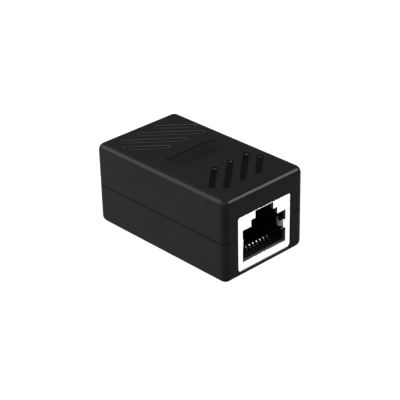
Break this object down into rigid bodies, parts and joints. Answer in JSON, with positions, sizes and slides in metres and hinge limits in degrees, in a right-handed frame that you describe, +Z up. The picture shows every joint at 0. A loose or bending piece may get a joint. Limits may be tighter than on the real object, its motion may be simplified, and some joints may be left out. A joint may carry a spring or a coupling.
{
  "type": "rj45 inline coupler",
  "caption": "Shielded inline coupler that joins two network cables end to end, with a keyed modular socket in each end of a black rounded casing.",
  "frame": {"origin": "middle of the casing's underside, on the surface that it stands on", "axes": "+Z up, towards the face with the slanting slots; +Y along the cable, from the front socket to the rear socket; +X across"},
  "size_m": [0.0226, 0.0382, 0.0186],
  "materials": {
    "casing": "moulded black ABS with a fine spark-eroded satin texture",
    "shield": "bright nickel-plated sheet",
    "socket_plastic": "moulded black thermoplastic, semi-gloss",
    "carrier_plastic": "moulded black thermoplastic",
    "contact": "phosphor bronze strip with gold plating",
    "board": "glass-epoxy board with green solder mask"
  },
  "bodies": {
    "root": {"lower_case": "casing", "upper_case": "casing", "circuit_board": "board", "front_shield": "shield", "front_housing": "socket_plastic", "front_contact_carrier": "carrier_plastic", "front_contact_1": "contact", "front_contact_2": "contact", "front_contact_3": "contact", "front_contact_4": "contact", "front_contact_5": "contact", "front_contact_6": "contact", "front_contact_7": "contact", "front_contact_8": "contact", "rear_shield": "shield", "rear_housing": "socket_plastic", "rear_contact_carrier": "carrier_plastic", "rear_contact_1": "contact", "rear_contact_2": "contact", "rear_contact_3": "contact", "rear_contact_4": "contact", "rear_contact_5": "contact", "rear_contact_6": "contact", "rear_contact_7": "contact", "rear_contact_8": "contact"}
  },
  "joints": []
}
